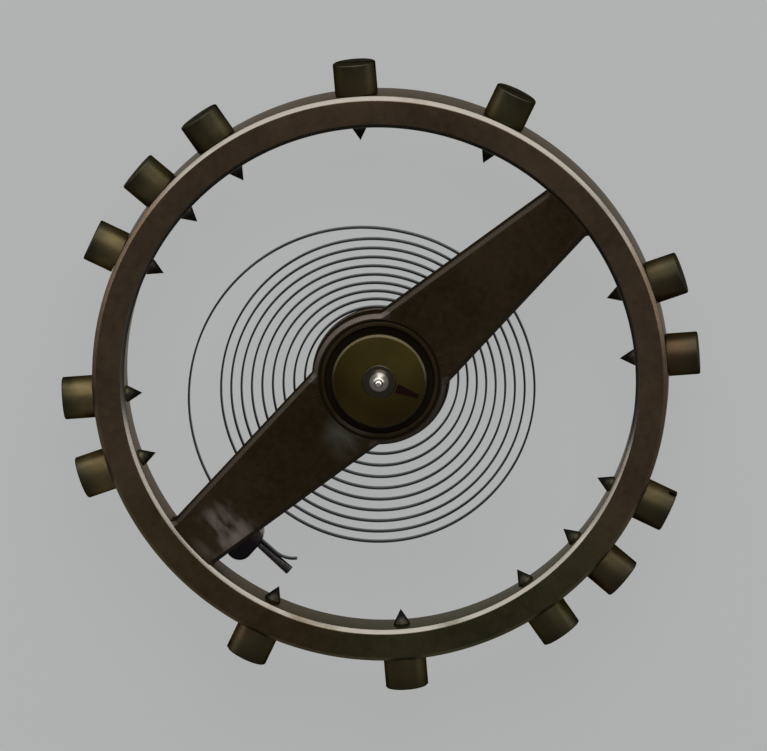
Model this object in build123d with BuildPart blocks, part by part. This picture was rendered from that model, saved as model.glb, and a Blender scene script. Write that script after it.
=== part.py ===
from build123d import *
from math import atan2, ceil, cos, degrees, hypot, pi, radians, sin, sqrt
import os

# Balance wheel of a large pocket watch, with its staff, roller, collet, hairspring and stud.
# Millimetres. The staff stands along Z with its middle at the origin and its roller end up.
# The arm runs along X. The hairspring lies below the arm, on the side of the balance cock.

# Balance wheel: rim, arm and hub, turned and crossed out of one blank
rim_outer_radius = 8.5
rim_width = 0.95
rim_height = 1.52
rim_front_chamfer = 0.13
rim_back_chamfer = 0.05
arm_recess = 0.1
arm_thickness = 0.78
arm_end_half_width = 0.8
arm_root_inset = 0.41
arm_bevel = 0.12
arm_fillet = 0.15
hub_edge_width = 0.35
hub_flange_step = 0.06
hub_flange_height = 0.2
hub_groove_width = 0.07
hub_groove_depth = 0.05
hub_boss_radius = 1.3
hub_boss_height = 0.05

# Rim screws: seated heads, threads through the rim, pointed ends inside it
screw_angles = (22.5, 52.5, 82.5, 97.5, 112.5, 142.5, 157.5)
screw_slot_turns = (8, 166, 172, 15, 3, 177, 20, 162, 11, 169, 5, 24, 158, 174)
screw_head_radius = 0.63
screw_head_height = 0.92
screw_slot_width = 0.17
screw_slot_depth = 0.24
screw_thread_radius = 0.24
screw_thread_clearance = 0.01
screw_land = 0.05
screw_point_length = 0.42

# Staff: one turned steel arbor
staff_length = 4.3
pivot_radius = 0.1
pivot_rounding = 0.04
upper_pivot_length = 0.22
upper_cone_height = 0.18
upper_cone_radius = 0.38
roller_seat_radius = 0.5
roller_seat_stand = 0.02
staff_hub_flange = 0.25
staff_hub_height = 0.12
balance_seat_radius = 0.7
rivet_lip = 0.1
rivet_height = 0.06
collet_seat_radius = 0.5
arbor_radius = 0.37
lower_cone_height = 0.5
lower_cone_radius = 0.3
lower_pivot_length = 0.36

# Roller table with the jewel in its tapered slit
roller_radius = 1.41
roller_thickness = 0.3
roller_bevel = 0.07
roller_moat = 0.21
roller_sink = 0.025
jewel_angle = 297.0
jewel_seat_wall = 0.06
jewel_edge_wall = 0.19
jewel_inner_width = 0.25
jewel_outer_width = 0.1
jewel_stand = 0.05
jewel_clearance = 0.01

# Collet, split on one side
collet_wall = 0.65
collet_height = 0.5
collet_gap = 0.02
collet_chamfer = 0.05
collet_slit_width = 0.1
collet_slit_turn = 150.0

# Hairspring: one flat strip, wound as a spiral that drifts sideways as it opens
strip_thickness = 0.06
strip_height = 0.22
coil_turns = 11.85
coil_stand_off = 0.25
coil_drift = 0.52
coil_drift_angle = 206.6
flare_turns = 0.425
flare_rise = 0.8
flare_power = 1.5
elbow_stand_off = 0.07
tail_straight = 0.5
tail_length = 1.1
tail_bend_radius = 2.6

# Stud and the two taper pins that hold the ends of the strip
stud_angle = 189.5
stud_rim_clearance = 0.38
stud_arm_clearance = 0.1
stud_head_width = 0.8
stud_head_straight = 0.46
stud_head_height = 0.78
stud_head_chamfer = 0.06
stud_inner_wall = 0.29
stud_post_radius = 0.24
stud_post_length = 1.1
stud_post_chamfer = 0.05
pin_fit = 0.01
collet_strip_offset = 0.03
stud_strip_offset = 0.05
pin_taper_share = 0.028
collet_pin_proud = 0.12
stud_pin_thin_side = 1.1
stud_pin_thick_side = 1.6

# One overrun for every cut
overrun = 0.2

# Heights that follow from the stack on the staff, from the upper pivot down
staff_top = staff_length / 2
roller_front = staff_top - upper_pivot_length - upper_cone_height - roller_seat_stand
roller_back = roller_front - roller_thickness
hub_floor = roller_back - staff_hub_height
arm_front = roller_back + roller_sink
arm_back = arm_front - arm_thickness
rim_front = arm_front + arm_recess
rim_back = rim_front - rim_height
rim_middle = (rim_front + rim_back) / 2
hub_back = arm_back - hub_boss_height
rivet_back = hub_back - rivet_height
collet_top = rivet_back - collet_gap
strip_middle = collet_top - collet_height / 2
strip_bottom = strip_middle - strip_height / 2
stud_top = arm_back - stud_arm_clearance

# Radii that follow from the named sizes
rim_inner_radius = rim_outer_radius - rim_width
hub_recess_radius = roller_radius + roller_moat
hub_radius = hub_recess_radius + hub_edge_width
arm_root_half_width = hub_radius - arm_root_inset
jewel_start_radius = roller_seat_radius + jewel_seat_wall
jewel_end_radius = roller_radius - jewel_edge_wall
collet_radius = collet_seat_radius + collet_wall
collet_hole_distance = collet_seat_radius + collet_wall / 2
coil_start_radius = collet_radius + coil_stand_off
stud_head_length = stud_head_straight + stud_head_width

os.makedirs("parts", exist_ok=True)


def save(piece, name):
    """Label one finished piece and write its STEP file."""
    piece.part.label = name
    export_step(piece.part, f"parts/{name}.step")


def turned(angle, length):
    """The point at a distance along a heading, in degrees."""
    return Vector(length * cos(radians(angle)), length * sin(radians(angle)))


# The slender tapers of the staff and of the pins are Bezier lines between two ends. They are straight
# like any other line, and what they turn has a tenth of a plain cone's facets.


# The balance wheel
def wheel_screw_plane(angle, radius):
    """A plane square to a rim screw, at a radius from the staff."""
    foot = turned(angle, radius) + Vector(0, 0, rim_middle)
    return Plane(origin=foot, x_dir=turned(angle + 90, 1), z_dir=turned(angle, 1))


all_screw_angles = screw_angles + tuple(angle + 180 for angle in screw_angles)
arm_reach = rim_inner_radius + rim_width / 2

with BuildPart() as balance_wheel:
    with BuildSketch(Plane.XY.offset(rim_back)):
        Circle(rim_outer_radius)
        Circle(rim_inner_radius, mode=Mode.SUBTRACT)
    extrude(amount=rim_height)
    chamfer(balance_wheel.faces().sort_by(Axis.Z)[-1].edges(), min(rim_front_chamfer, rim_width / 3))
    chamfer(balance_wheel.faces().sort_by(Axis.Z)[0].edges(), min(rim_back_chamfer, rim_width / 3))

    with BuildSketch(Plane.XY.offset(arm_back)) as arm_outline:
        Circle(arm_reach)
        Circle(rim_inner_radius, mode=Mode.SUBTRACT)
        with BuildLine():
            Polyline(
                (arm_reach, arm_end_half_width),
                (0, arm_root_half_width),
                (-arm_reach, arm_end_half_width),
                (-arm_reach, -arm_end_half_width),
                (0, -arm_root_half_width),
                (arm_reach, -arm_end_half_width),
                close=True,
            )
        make_face()
        Circle(hub_radius)
        inside_rim = arm_outline.vertices().filter_by(
            lambda corner: hypot(corner.X, corner.Y) < arm_reach - rim_width / 4
        )
        fillet(inside_rim, arm_fillet)
    extrude(amount=arm_thickness - arm_bevel)
    extrude(arm_outline.sketch.moved(Location((0, 0, arm_thickness - arm_bevel))), amount=arm_bevel, taper=45)

    with BuildSketch(Plane.XY.offset(arm_back)):
        Circle(hub_radius + hub_flange_step)
    extrude(amount=hub_flange_height)
    with BuildSketch(Plane.XY.offset(hub_back)):
        Circle(hub_boss_radius)
    extrude(amount=hub_boss_height)

    with BuildSketch(Plane.XY.offset(hub_floor)):
        Circle(hub_recess_radius)
    extrude(amount=arm_front - hub_floor + overrun, mode=Mode.SUBTRACT)
    with BuildSketch(Plane.XY.offset(arm_front - hub_groove_depth)):
        Circle(hub_recess_radius + hub_edge_width / 3 + hub_groove_width)
        Circle(hub_recess_radius + hub_edge_width / 3, mode=Mode.SUBTRACT)
    extrude(amount=hub_groove_depth + overrun, mode=Mode.SUBTRACT)
    with BuildSketch(Plane.XY.offset(hub_back - overrun)):
        Circle(balance_seat_radius)
    extrude(amount=arm_front - hub_back + overrun, mode=Mode.SUBTRACT)

    for angle in all_screw_angles:
        with BuildSketch(wheel_screw_plane(angle, rim_inner_radius - overrun)):
            Circle(screw_thread_radius + screw_thread_clearance)
        extrude(amount=rim_width + 2 * overrun, mode=Mode.SUBTRACT)
save(balance_wheel, "balance_wheel")


# The rim screws, in opposite pairs
def build_rim_screw(angle, slot_turn):
    """A cylinder-head screw that points at the staff, turned about its own axis, then slotted."""
    seat = rim_outer_radius
    head_end = seat + screw_head_height
    thread_end = rim_inner_radius - screw_land
    axis_plane = Plane(origin=(0, 0, rim_middle), x_dir=turned(angle, 1), z_dir=turned(angle - 90, 1))
    with BuildPart() as screw:
        with BuildSketch(axis_plane):
            with BuildLine():
                Polyline(
                    (thread_end - screw_point_length, 0),
                    (thread_end, screw_thread_radius),
                    (seat, screw_thread_radius),
                    (seat, screw_head_radius),
                    (head_end, screw_head_radius),
                    (head_end, 0),
                    close=True,
                )
            make_face()
        revolve(axis=Axis((0, 0, rim_middle), turned(angle, 1)))
        with BuildSketch(wheel_screw_plane(angle, head_end - screw_slot_depth)):
            Rectangle(2 * (screw_head_radius + overrun), screw_slot_width, rotation=slot_turn)
        extrude(amount=screw_slot_depth + overrun, mode=Mode.SUBTRACT)
    return screw


for number, (angle, slot_turn) in enumerate(zip(all_screw_angles, screw_slot_turns), start=1):
    save(build_rim_screw(angle, slot_turn), f"rim_screw_{number:02d}")

# The staff, a pivot at each end and every seat turned between them
lower_cone_top = -staff_top + lower_pivot_length + lower_cone_height
collet_seat_end = collet_top - collet_height - collet_gap
rivet_radius = balance_seat_radius + rivet_lip

with BuildPart() as balance_staff:
    with BuildSketch(Plane.XZ):
        with BuildLine():
            Polyline(
                (0, staff_top),
                (pivot_radius - pivot_rounding, staff_top),
                (pivot_radius, staff_top - pivot_rounding),
                (pivot_radius, staff_top - upper_pivot_length),
            )
            RadiusArc(
                (pivot_radius, staff_top - upper_pivot_length),
                (upper_cone_radius, roller_front + roller_seat_stand),
                -2 * (upper_cone_radius - pivot_radius),
            )
            Polyline(
                (upper_cone_radius, roller_front + roller_seat_stand),
                (roller_seat_radius - roller_seat_stand, roller_front + roller_seat_stand),
                (roller_seat_radius, roller_front),
                (roller_seat_radius, roller_back),
                (balance_seat_radius + staff_hub_flange, roller_back),
                (balance_seat_radius + staff_hub_flange, hub_floor),
                (balance_seat_radius, hub_floor),
                (balance_seat_radius, hub_back),
                (rivet_radius, hub_back),
                (balance_seat_radius, rivet_back),
                (collet_seat_radius, rivet_back),
                (collet_seat_radius, collet_seat_end),
                (arbor_radius, collet_seat_end),
            )
            Bezier((arbor_radius, collet_seat_end), (lower_cone_radius, lower_cone_top))
            RadiusArc(
                (lower_cone_radius, lower_cone_top),
                (pivot_radius, -staff_top + lower_pivot_length),
                -3 * lower_cone_height,
            )
            Polyline(
                (pivot_radius, -staff_top + lower_pivot_length),
                (pivot_radius, -staff_top + pivot_rounding),
                (pivot_radius - pivot_rounding, -staff_top),
                (0, -staff_top),
                (0, staff_top),
            )
        make_face()
    revolve(axis=Axis.Z)
save(balance_staff, "balance_staff")

# The roller table, a thin brass disc with a tapered radial slit for the jewel


def jewel_wedge(allowance):
    """The corners of the wedge in the slit: wide beside the staff, narrow towards the edge."""
    inner_half = jewel_inner_width / 2 + allowance
    outer_half = jewel_outer_width / 2 + allowance
    return (
        (jewel_start_radius - allowance, -inner_half), (jewel_end_radius + allowance, -outer_half),
        (jewel_end_radius + allowance, outer_half), (jewel_start_radius - allowance, inner_half),
    )


with BuildPart() as roller_table:
    with BuildSketch(Plane.XY.offset(roller_back)):
        Circle(roller_radius)
    extrude(amount=roller_thickness)
    chamfer(roller_table.faces().sort_by(Axis.Z)[-1].edges(), roller_bevel)
    with BuildSketch(Plane.XY.offset(roller_back - overrun)):
        Circle(roller_seat_radius)
    extrude(amount=roller_thickness + 2 * overrun, mode=Mode.SUBTRACT)
    with BuildSketch(Plane((0, 0, roller_back - overrun), x_dir=turned(jewel_angle, 1))):
        with BuildLine():
            Polyline(*jewel_wedge(jewel_clearance), close=True)
        make_face()
    extrude(amount=roller_thickness + 2 * overrun, mode=Mode.SUBTRACT)
save(roller_table, "roller_table")

with BuildPart() as impulse_jewel:
    with BuildSketch(Plane((0, 0, roller_back), x_dir=turned(jewel_angle, 1))):
        with BuildLine():
            Polyline(*jewel_wedge(0), close=True)
        make_face()
    extrude(amount=roller_thickness + jewel_stand)
save(impulse_jewel, "impulse_jewel")


# The strip reaches the stud at a fixed place, so the spacing of its turns follows from that
stud_line_radius = rim_inner_radius - stud_rim_clearance - stud_head_length + stud_inner_wall
coil_end = turned(stud_angle, stud_line_radius) - turned(coil_drift_angle, coil_drift)
coil_end_angle = degrees(atan2(coil_end.Y, coil_end.X))
coil_pitch = (coil_end.length - coil_start_radius - flare_rise) / coil_turns


# The hairspring: its line is a chain of stations, each a point and a heading in degrees
def coil_station(turn):
    """The point and heading of the spiral after so many turns from the collet."""
    angle = coil_end_angle + 360 * (turn - coil_turns)
    quarter = pi / 2
    drift = coil_drift * sin(quarter * turn / coil_turns)
    drift_growth = coil_drift * cos(quarter * turn / coil_turns) * quarter / coil_turns
    flare = quarter * max(0, turn - coil_turns + flare_turns) / flare_turns
    flare_growth = flare_rise * flare_power * sin(flare) ** (flare_power - 1) * cos(flare)
    flare_growth = flare_growth * quarter / flare_turns
    radius = coil_start_radius + coil_pitch * turn + flare_rise * sin(flare) ** flare_power
    speed = turned(coil_drift_angle, drift_growth) + turned(angle, coil_pitch + flare_growth)
    speed = speed + turned(angle + 90, 2 * pi * radius)
    return turned(coil_drift_angle, drift) + turned(angle, radius), degrees(atan2(speed.Y, speed.X))


def biarc_middle(start, end):
    """Where two arcs meet that leave one station and arrive at the next without a corner."""
    span = end[0] - start[0]
    leave, arrive = turned(start[1], 1), turned(end[1], 1)
    both = span.dot(leave + arrive)
    spread = 2 * (1 - leave.dot(arrive))
    reach = (sqrt(both**2 + spread * span.dot(span)) - both) / spread
    middle = (start[0] + end[0] + (leave - arrive) * reach) * 0.5
    chord = middle - start[0]
    return middle, 2 * degrees(atan2(chord.Y, chord.X)) - start[1]


def straight_on(station, length):
    """The station a length further along a heading."""
    return station[0] + turned(station[1], length), station[1]


def arc_on(station, length, radius):
    """The station after an arc to the left."""
    bend = degrees(length / radius)
    centre = station[0] + turned(station[1] + 90, radius)
    return centre + turned(station[1] + bend - 90, radius), station[1] + bend


# The elbow leaves the collet's cross hole along a chord and ends on the first turn
strip_chord = collet_hole_distance + collet_strip_offset + strip_thickness / 2
hole_half_chord = sqrt(collet_radius**2 - collet_hole_distance**2)
elbow_reach = hole_half_chord + elbow_stand_off
elbow_room = coil_start_radius**2 - elbow_reach**2 - strip_chord**2
elbow_radius = elbow_room / (2 * (coil_start_radius - strip_chord))
coil_start_angle = coil_end_angle - 360 * coil_turns
collet_hole_angle = coil_start_angle - 90 + degrees(atan2(strip_chord - elbow_radius, elbow_reach))
tongue_middle = (turned(collet_hole_angle, strip_chord), collet_hole_angle + 90)

span_count = ceil(3 * coil_turns)
coil_stations = [coil_station(coil_turns * step / span_count) for step in range(span_count + 1)]
bends = [straight_on(tongue_middle, elbow_reach)] + coil_stations
arc_stations = [bends[0]]
for start, end in zip(bends, bends[1:]):
    arc_stations += [biarc_middle(start, end), end]
stud_station = arc_stations[-1]
tail_start = straight_on(stud_station, tail_straight)
tail_end = arc_on(tail_start, tail_length, tail_bend_radius)
tongue_start = straight_on(tongue_middle, -hole_half_chord)


def beside(station, distance):
    """The point at a distance to the left of a station."""
    return station[0] + turned(station[1] + 90, distance)


with BuildPart() as hairspring:
    with BuildSketch(Plane.XY.offset(strip_bottom)):
        with BuildLine():
            for side in (strip_thickness / 2, -strip_thickness / 2):
                Line(beside(tongue_start, side), beside(arc_stations[0], side))
                for start, end in zip(arc_stations, arc_stations[1:]):
                    TangentArc(beside(start, side), beside(end, side), tangent=turned(start[1], 1))
                Line(beside(stud_station, side), beside(tail_start, side))
                tail_heading = turned(tail_start[1], 1)
                TangentArc(beside(tail_start, side), beside(tail_end, side), tangent=tail_heading)
            for end in (tongue_start, tail_end):
                Line(beside(end, strip_thickness / 2), beside(end, -strip_thickness / 2))
        make_face()
    extrude(amount=strip_height)
save(hairspring, "hairspring")

# The collet, with a slit and a cross hole along a chord for the strip and its pin
def hole_radius_for(strip_offset):
    """A hole that takes the strip edge on, a little to one side, and a pin beside it."""
    return hypot(strip_height / 2, strip_offset + strip_thickness) + 3 * pin_fit


def pin_radius_for(strip_offset):
    """The pin's radius where it fills what the strip leaves of the hole."""
    return (hole_radius_for(strip_offset) + strip_offset) / 2 - pin_fit


def pin_offset_for(strip_offset):
    """How far the pin's axis stands from the hole's, away from the strip."""
    return (hole_radius_for(strip_offset) - strip_offset) / 2


collet_hole_radius = hole_radius_for(collet_strip_offset)
hole_along = turned(collet_hole_angle + 90, 1)
hole_middle = turned(collet_hole_angle, collet_hole_distance) + Vector(0, 0, strip_middle)
slit_angle = collet_hole_angle + collet_slit_turn

with BuildPart() as collet:
    with BuildSketch(Plane.XY.offset(collet_top - collet_height)):
        Circle(collet_radius)
        Circle(collet_seat_radius, mode=Mode.SUBTRACT)
    extrude(amount=collet_height)
    chamfer(collet.edges().filter_by(GeomType.CIRCLE).group_by(SortBy.RADIUS)[-1], collet_chamfer)
    with BuildSketch(Plane(origin=hole_middle - hole_along * collet_radius, z_dir=hole_along)):
        Circle(collet_hole_radius)
    extrude(amount=2 * collet_radius, mode=Mode.SUBTRACT)
    with BuildSketch(Plane((0, 0, collet_top - collet_height - overrun), x_dir=turned(slit_angle, 1))):
        Rectangle(collet_radius + overrun, collet_slit_width, align=(Align.MIN, Align.CENTER))
    extrude(amount=collet_height + 2 * overrun, mode=Mode.SUBTRACT)
save(collet, "collet")


def build_taper_pin(middle, along, radius, thin_side, thick_side):
    """A taper pin: its radius at the middle of the hole, and its reach to each side."""
    pin_plane = Plane(origin=middle, x_dir=along, z_dir=(0, 0, 1))
    with BuildPart() as pin:
        with BuildSketch(pin_plane):
            thin_corner = (-thin_side, radius - pin_taper_share * thin_side)
            thick_corner = (thick_side, radius + pin_taper_share * thick_side)
            with BuildLine():
                Bezier(thin_corner, thick_corner)
                Polyline(thick_corner, (thick_side, 0), (-thin_side, 0), thin_corner)
            make_face()
        revolve(axis=Axis(middle, along))
    return pin


collet_pin_radius = pin_radius_for(collet_strip_offset) - pin_taper_share * hole_half_chord
collet_pin_middle = hole_middle - turned(collet_hole_angle, pin_offset_for(collet_strip_offset))
collet_pin_sides = (hole_half_chord, hole_half_chord + collet_pin_proud)
collet_pin = build_taper_pin(collet_pin_middle, -hole_along, collet_pin_radius, *collet_pin_sides)
save(collet_pin, "collet_pin")

# The stud: a rounded block with a cross hole, and the post that the balance cock grips
stud_hole_radius = hole_radius_for(stud_strip_offset)
stud_along = turned(stud_station[1], 1)
stud_outward = turned(stud_station[1] - 90, 1)
stud_hole_middle = stud_station[0] + stud_outward * (stud_strip_offset + strip_thickness / 2)
stud_hole_middle = stud_hole_middle + Vector(0, 0, strip_middle)
stud_head_middle = stud_station[0] + stud_outward * (stud_head_length / 2 - stud_inner_wall)
stud_bottom = stud_top - stud_head_height

with BuildPart() as stud:
    with BuildSketch(Plane(stud_head_middle + Vector(0, 0, stud_bottom), x_dir=stud_outward)):
        SlotCenterToCenter(stud_head_straight, stud_head_width)
    extrude(amount=stud_head_height)
    chamfer(stud.faces().sort_by(Axis.Z)[-1].edges(), stud_head_chamfer)
    with BuildSketch(Plane(stud_head_middle + Vector(0, 0, stud_bottom - stud_post_length))):
        Circle(stud_post_radius)
    extrude(amount=stud_post_length)
    chamfer(stud.faces().sort_by(Axis.Z)[0].edges(), stud_post_chamfer)
    with BuildSketch(Plane(origin=stud_hole_middle - stud_along * stud_head_length, z_dir=stud_along)):
        Circle(stud_hole_radius)
    extrude(amount=2 * stud_head_length, mode=Mode.SUBTRACT)
save(stud, "stud")

stud_pin_radius = pin_radius_for(stud_strip_offset) - pin_taper_share * stud_head_width / 2
stud_pin_middle = stud_hole_middle + stud_outward * pin_offset_for(stud_strip_offset)
stud_pin_sides = (stud_pin_thin_side, stud_pin_thick_side)
stud_pin = build_taper_pin(stud_pin_middle, stud_along, stud_pin_radius, *stud_pin_sides)
save(stud_pin, "stud_pin")


# The least gap between neighbouring turns, measured on points along the spiral
def coil_point(turn):
    """A point of the strip's middle line."""
    return coil_station(turn)[0]


checks_per_turn = 48
check_turns = [step / checks_per_turn for step in range(int((coil_turns - 1) * checks_per_turn))]
spacings = [(coil_point(turn + 1) - coil_point(turn)).length for turn in check_turns]
print("turns", coil_turns, "least gap between turns", round(min(spacings) - strip_thickness, 3))
print("coil pitch", round(coil_pitch, 4), "elbow radius", round(elbow_radius, 3))
print("strip middle", round(strip_middle, 4), "rim from", round(rim_back, 4), "to", round(rim_front, 4))
print("stud hole", stud_hole_middle, "heading", round(stud_station[1] % 360, 2))
print("stud post", stud_head_middle, "top", round(stud_bottom, 4))
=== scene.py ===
import bmesh
import bpy
import numpy as np
from mathutils import Matrix, Vector


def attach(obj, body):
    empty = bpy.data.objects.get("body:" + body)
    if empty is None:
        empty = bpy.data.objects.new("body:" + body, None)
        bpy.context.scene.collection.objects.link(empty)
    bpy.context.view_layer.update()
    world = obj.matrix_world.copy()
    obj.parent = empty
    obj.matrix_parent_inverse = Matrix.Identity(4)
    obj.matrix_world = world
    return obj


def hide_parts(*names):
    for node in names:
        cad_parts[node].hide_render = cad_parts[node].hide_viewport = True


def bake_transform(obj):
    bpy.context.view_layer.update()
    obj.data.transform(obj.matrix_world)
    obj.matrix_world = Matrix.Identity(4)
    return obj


# Balance wheel of a large pocket watch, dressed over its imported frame.
# All lengths are millimetres. The staff stands along Z, the arm runs along X.
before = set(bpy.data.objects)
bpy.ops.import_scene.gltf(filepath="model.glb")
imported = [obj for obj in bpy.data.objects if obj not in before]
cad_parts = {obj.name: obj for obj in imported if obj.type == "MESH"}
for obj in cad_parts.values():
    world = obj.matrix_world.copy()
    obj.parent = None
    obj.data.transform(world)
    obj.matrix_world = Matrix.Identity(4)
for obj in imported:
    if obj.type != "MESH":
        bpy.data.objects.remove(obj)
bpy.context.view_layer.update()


# The rim
# The rim is the heavy outer ring of the balance, turned from the same bronze blank as the arm.
# Its faces have gone dark with age. Both front edges are broken by a bright, polished chamfer.
MILLIMETRE = 0.001
rim_outer_radius = 8.5
rim_inner_radius = 7.55
rim_front = 1.555
rim_back = 0.035
rim_front_chamfer = 0.13
rim_back_chamfer = 0.05
rim_edge_softness = 0.018
rim_columns = 720
corner_steps = 5
merge_gap = 0.00002
least_edge = 0.000001
screw_thread_radius = 0.24
screw_thread_clearance = 0.01
bore_radius = screw_thread_radius + screw_thread_clearance
bore_overrun = 0.3
bore_reach = np.array([rim_inner_radius - bore_overrun, rim_outer_radius + bore_overrun])
screw_angles = (22.5, 52.5, 82.5, 97.5, 112.5, 142.5, 157.5)
all_screw_angles = np.array(screw_angles + tuple(angle + 180 for angle in screw_angles))
rim_middle = (rim_front + rim_back) / 2
lathe_grain = 0.04
grain_depth = 0.004
cloud_roughness = 0.55
fine_share = 0.4
umber_middle = (-7.4, -2.4, 1.5)
olive_middle = (-2.6, -7.6, 1.5)
tint_patch_full = 4.0
tint_patch_reach = 7.5
tint_patch_wander = 3.0
lit_edge_middle = (6.4, 5.4, 1.5)
lit_edge_reach = 6.8
edge_shade_from = 8.8
edge_shade_share = 0.9
outer_edge_start = 8.1
outer_edge_full = 8.3
bronze_tones = (0.08, 0.053, 0.033), (0.13, 0.09, 0.058)
umber_tones = (0.063, 0.041, 0.019), (0.102, 0.07, 0.037)
olive_tones = (0.047, 0.044, 0.02), (0.08, 0.074, 0.038)
polished_bronze = (0.15, 0.136, 0.117)
polish_patches = 0.2, 0.44
bronze_roughness = 0.3
tarnish_roughness = 0.12
polish_gloss = 0.14
grain_strength = 0.12


def softened(corners, softness, steps=corner_steps, closed=True):
    """A profile with each corner rounded.

    Around corner C the curve is (1-t)^2 A + 2t(1-t) C + t^2 B, for t from 0 to 1, where A and B lie
    on the two sides that meet in C, at the softness from it, or halfway along a shorter side.
    """
    corner = np.array(corners, float)
    reach = np.broadcast_to(np.array(softness, float), len(corner)).copy()
    if not closed:
        reach[[0, -1]] = 0
    before = np.roll(corner, 1, axis=0) - corner
    after = np.roll(corner, -1, axis=0) - corner
    length_before = np.linalg.norm(before, axis=1)
    length_after = np.linalg.norm(after, axis=1)
    start = corner + before * (np.minimum(reach, length_before / 2) / length_before)[:, None]
    end = corner + after * (np.minimum(reach, length_after / 2) / length_after)[:, None]
    t = np.linspace(0, 1, steps)[None, :, None]
    curve = (1 - t) ** 2 * start[:, None] + 2 * t * (1 - t) * corner[:, None] + t**2 * end[:, None]
    return curve.reshape(-1, 2)


def full_turn(columns):
    """So many angles, evenly spaced round one turn."""
    return np.linspace(0, 2 * np.pi, columns, endpoint=False)


def heading_point(angle, length):
    """The point at a distance along a heading: (l cos a, l sin a)."""
    return np.stack([length * np.cos(angle), length * np.sin(angle)], axis=-1)


def raised(points, height):
    """Flat points, all at one height or each at its own."""
    return np.concatenate([points, np.broadcast_to(height, points.shape[:-1])[..., None]], axis=-1)


def carried_round(profile, angle):
    """A profile of (radius, height) at angles round the staff: (r cos a, r sin a, z)."""
    return raised(heading_point(angle, profile[:, :1]), profile[:, 1:])


def net_faces(rows, columns, rows_wrap, columns_wrap, first=0):
    """The quads of a net: row i, column j joins i+1 and j+1, which wrap round where the net is closed."""
    i = np.arange(rows if rows_wrap else rows - 1)[:, None]
    j = np.arange(columns if columns_wrap else columns - 1)[None, :]
    here, below = i * columns, ((i + 1) % rows) * columns
    beside = (j + 1) % columns
    return first + np.stack([here + j, here + beside, below + beside, below + j], axis=-1).reshape(-1, 4)


def net_piece(name, *nets):
    """A piece made of nets of points, each given with whether its rows and its columns wrap round."""
    points, faces, first = [], [], 0
    for net, rows_wrap, columns_wrap in nets:
        rows, columns = net.shape[:2]
        points.append(net.reshape(-1, 3))
        faces.append(net_faces(rows, columns, rows_wrap, columns_wrap, first))
        first += rows * columns
    return made_piece(name, np.concatenate(points), np.concatenate(faces))


def turned_piece(name, profile, columns, ring):
    """A piece turned from a profile of (radius, height), which is a closed loop on a ring."""
    return net_piece(name, (carried_round(profile, full_turn(columns)), ring, True))


def made_piece(name, points, faces):
    """A mesh object from its points and faces, mended as below."""
    mesh = bpy.data.meshes.new(name)
    mesh.from_pydata((points * MILLIMETRE).tolist(), [], faces.tolist())
    piece = bpy.data.objects.new(name, mesh)
    bpy.context.scene.collection.objects.link(piece)
    mended(piece)
    return piece


def mended(piece):
    """Merge the doubles of a piece, turn its faces outwards and shade it softly."""
    work = bmesh.new()
    work.from_mesh(piece.data)
    bmesh.ops.remove_doubles(work, verts=work.verts, dist=merge_gap * MILLIMETRE)
    bmesh.ops.dissolve_degenerate(work, edges=work.edges, dist=least_edge * MILLIMETRE)
    bmesh.ops.recalc_face_normals(work, faces=work.faces)
    work.to_mesh(piece.data)
    work.free()
    shaded(piece)


def shaded(piece, smooth_below=30.0):
    """Shade a piece softly, apart from edges where its faces meet at more than an angle."""
    piece.data.shade_smooth()
    piece.data.set_sharp_from_angle(angle=np.radians(smooth_below))


def cut_with(piece, tool):
    """Take the tool's solid out of a piece with a Boolean, then drop the tool."""
    cut = piece.modifiers.new("cut", "BOOLEAN")
    cut.operation = "DIFFERENCE"
    cut.solver = "EXACT"
    cut.object = tool
    bpy.context.view_layer.update()
    whole = piece.evaluated_get(bpy.context.evaluated_depsgraph_get())
    made = bpy.data.meshes.new_from_object(whole)
    made.name = piece.name
    piece.modifiers.clear()
    piece.data = made
    bpy.data.objects.remove(tool)
    mended(piece)


def rod(name, start, end, radius, columns=48):
    """A round rod between two level points: start + (end - start) s + radius (cos a U + sin a V)."""
    along = (end - start) / np.linalg.norm(end - start)
    side = np.cross(along, (0, 0, 1))
    angle = full_turn(columns)[None, :, None]
    edge = np.cos(angle) * side + np.sin(angle) * np.cross(along, side)
    reach = np.array([0, 1, 1, 0])[:, None, None]
    middle = np.array([0, 0, 1, 1])[:, None, None] * (end - start) + start
    return net_piece(name, (middle + reach * radius * edge, False, True))


class Wire:
    """One output of a node; arithmetic with numbers or other wires adds Math nodes."""

    def __init__(self, finish, socket):
        self.finish = finish
        self.socket = socket

    def math(self, operation, *values):
        """One Math node on these values."""
        return self.finish.node("ShaderNodeMath", {"operation": operation}, dict(enumerate(values)))

    def __add__(self, other):
        return self.math("ADD", self, other)

    def __sub__(self, other):
        return self.math("SUBTRACT", self, other)

    def __mul__(self, other):
        return self.math("MULTIPLY", self, other)

    def __rsub__(self, other):
        return self.math("SUBTRACT", other, self)

    __radd__ = __add__
    __rmul__ = __mul__

    def __pow__(self, other):
        return self.math("POWER", self, other)

    def between(self, low=0.3, high=0.7):
        """0 below the low value, 1 above the high one, and a smooth step between them. With no values
        given, it spreads a soft noise over the whole range."""
        settings = {"interpolation_type": "SMOOTHSTEP"}
        return self.finish.node("ShaderNodeMapRange", settings, {0: self, 1: low, 2: high})


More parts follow.
